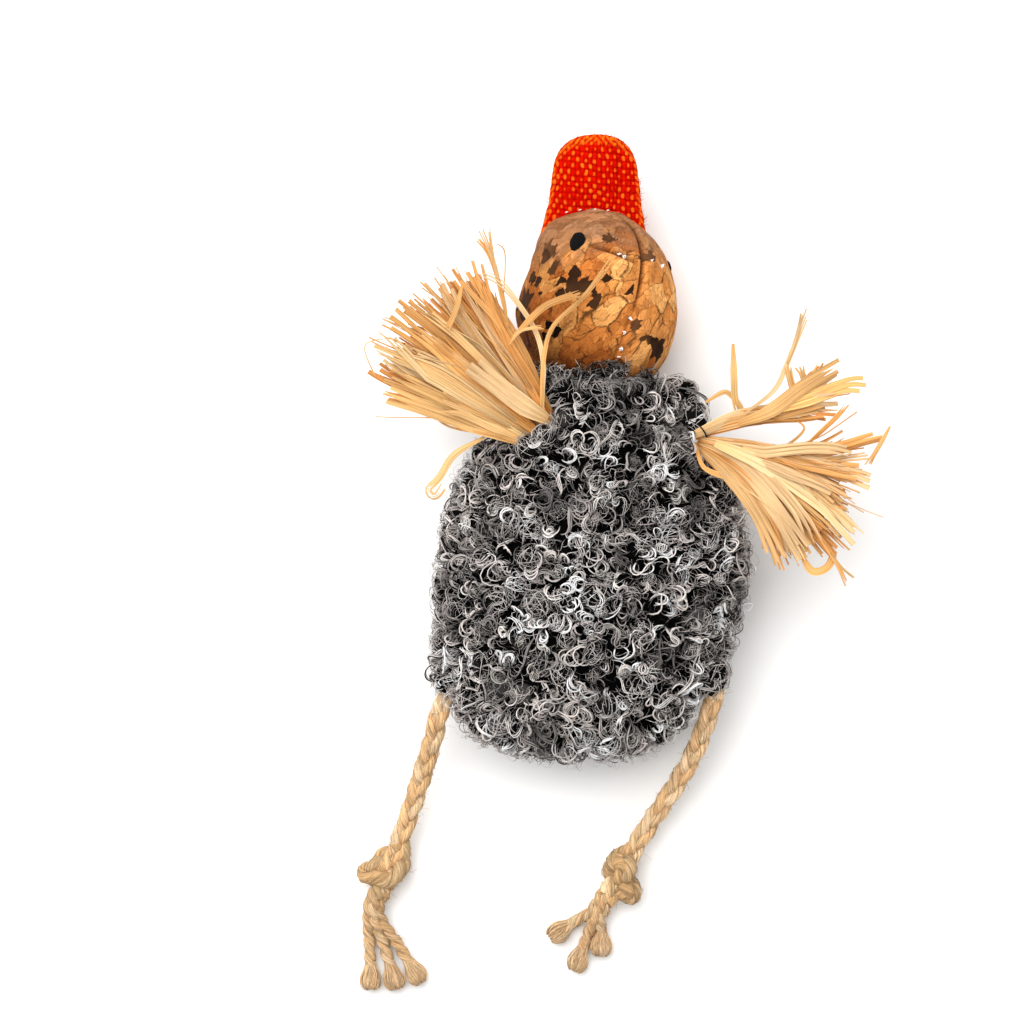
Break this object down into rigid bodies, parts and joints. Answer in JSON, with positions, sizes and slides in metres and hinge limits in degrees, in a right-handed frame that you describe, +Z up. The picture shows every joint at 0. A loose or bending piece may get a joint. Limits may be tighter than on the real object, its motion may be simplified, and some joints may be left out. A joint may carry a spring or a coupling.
{
  "type": "soft duck pet toy",
  "caption": "Soft duck pet toy lying on its back: a curly cloth body, a cork head that nods and twists, a woven bill, raffia wings and knotted plait legs.",
  "frame": {"origin": "on the flat of the back, under the middle of the body", "axes": "+X across the toy to its right in plan, +Y from the feet to the bill, +Z up from the floor"},
  "size_m": [0.0922, 0.1536, 0.0338],
  "materials": {
    "boucle": "curly boucle cloth of black, grey and white yarn",
    "filling": "loose white fibre",
    "catnip": "dried leaf in a thin pouch",
    "cork": "thin cork cloth, matt",
    "eye_black": "matt black",
    "red_weave": "coarse red and orange weave",
    "thread": "white sewing thread",
    "raffia": "natural raffia strips, slightly glossy",
    "jute": "plaited jute twine, hairy"
  },
  "bodies": {
    "torso": {"body_front_panel": "boucle", "body_back_panel": "boucle", "body_stuffing": "filling", "catnip_pouch": "catnip", "neck_thread": "thread"},
    "neck": {"neck_stuffing": "filling"},
    "head": {"head_left_panel": "cork", "head_right_panel": "cork", "head_stuffing": "filling", "left_eye": "eye_black", "right_eye": "eye_black"},
    "bill": {"bill_front_layer": "red_weave", "bill_back_layer": "red_weave", "bill_padding": "filling", "bill_stitching": "thread"},
    "left_wing": {"left_wing_raffia": "raffia"},
    "right_wing": {"right_wing_raffia": "raffia"},
    "left_leg_base": {"left_leg_root": "jute"},
    "left_leg": {"left_leg_rope": "jute", "left_foot_knot": "jute", "left_toe_outer": "jute", "left_toe_middle": "jute", "left_toe_inner": "jute"},
    "right_leg_base": {"right_leg_root": "jute"},
    "right_leg": {"right_leg_rope": "jute", "right_foot_knot": "jute", "right_toe_outer": "jute", "right_toe_middle": "jute", "right_toe_inner": "jute"}
  },
  "joints": [
    {"name": "neck_twist", "type": "hinge", "parent": "torso", "child": "neck", "pos_m": [0.0012, 0.033, 0.0146], "axis": [0, 1, 0], "range_deg": [-30, 30], "stiffness_Nm_per_rad": 0.006},
    {"name": "neck_nod", "type": "hinge", "parent": "neck", "child": "head", "pos_m": [0.0012, 0.033, 0.0146], "axis": [1, 0, 0], "range_deg": [-15, 15], "stiffness_Nm_per_rad": 0.015},
    {"name": "bill_flex", "type": "hinge", "parent": "head", "child": "bill", "pos_m": [0.0012, 0.0661, 0.0146], "axis": [1, 0, 0], "range_deg": [-25, 25], "stiffness_Nm_per_rad": 0.0006},
    {"name": "left_wing_flap", "type": "hinge", "parent": "torso", "child": "left_wing", "pos_m": [-0.0082, 0.0263, 0.02557], "axis": [0, 1, 0], "range_deg": [-5, 55], "stiffness_Nm_per_rad": 0.0015},
    {"name": "right_wing_flap", "type": "hinge", "parent": "torso", "child": "right_wing", "pos_m": [0.0155, 0.0263, 0.02265], "axis": [0, -1, 0], "range_deg": [-5, 40], "stiffness_Nm_per_rad": 0.0015},
    {"name": "left_leg_swing", "type": "hinge", "parent": "torso", "child": "left_leg_base", "pos_m": [-0.02656, -0.023, 0.0146], "axis": [0, 0, -1], "range_deg": [-4, 50]},
    {"name": "left_leg_lift", "type": "hinge", "parent": "left_leg_base", "child": "left_leg", "pos_m": [-0.02656, -0.023, 0.0146], "axis": [-0.9539, 0.3, 0], "range_deg": [-30, 55]},
    {"name": "right_leg_swing", "type": "hinge", "parent": "torso", "child": "right_leg_base", "pos_m": [0.02238, -0.0209, 0.0146], "axis": [0, 0, 1], "range_deg": [-4, 60]},
    {"name": "right_leg_lift", "type": "hinge", "parent": "right_leg_base", "child": "right_leg", "pos_m": [0.02238, -0.0209, 0.0146], "axis": [-0.8968, 0.4424, 0], "range_deg": [-30, 55]}
  ]
}
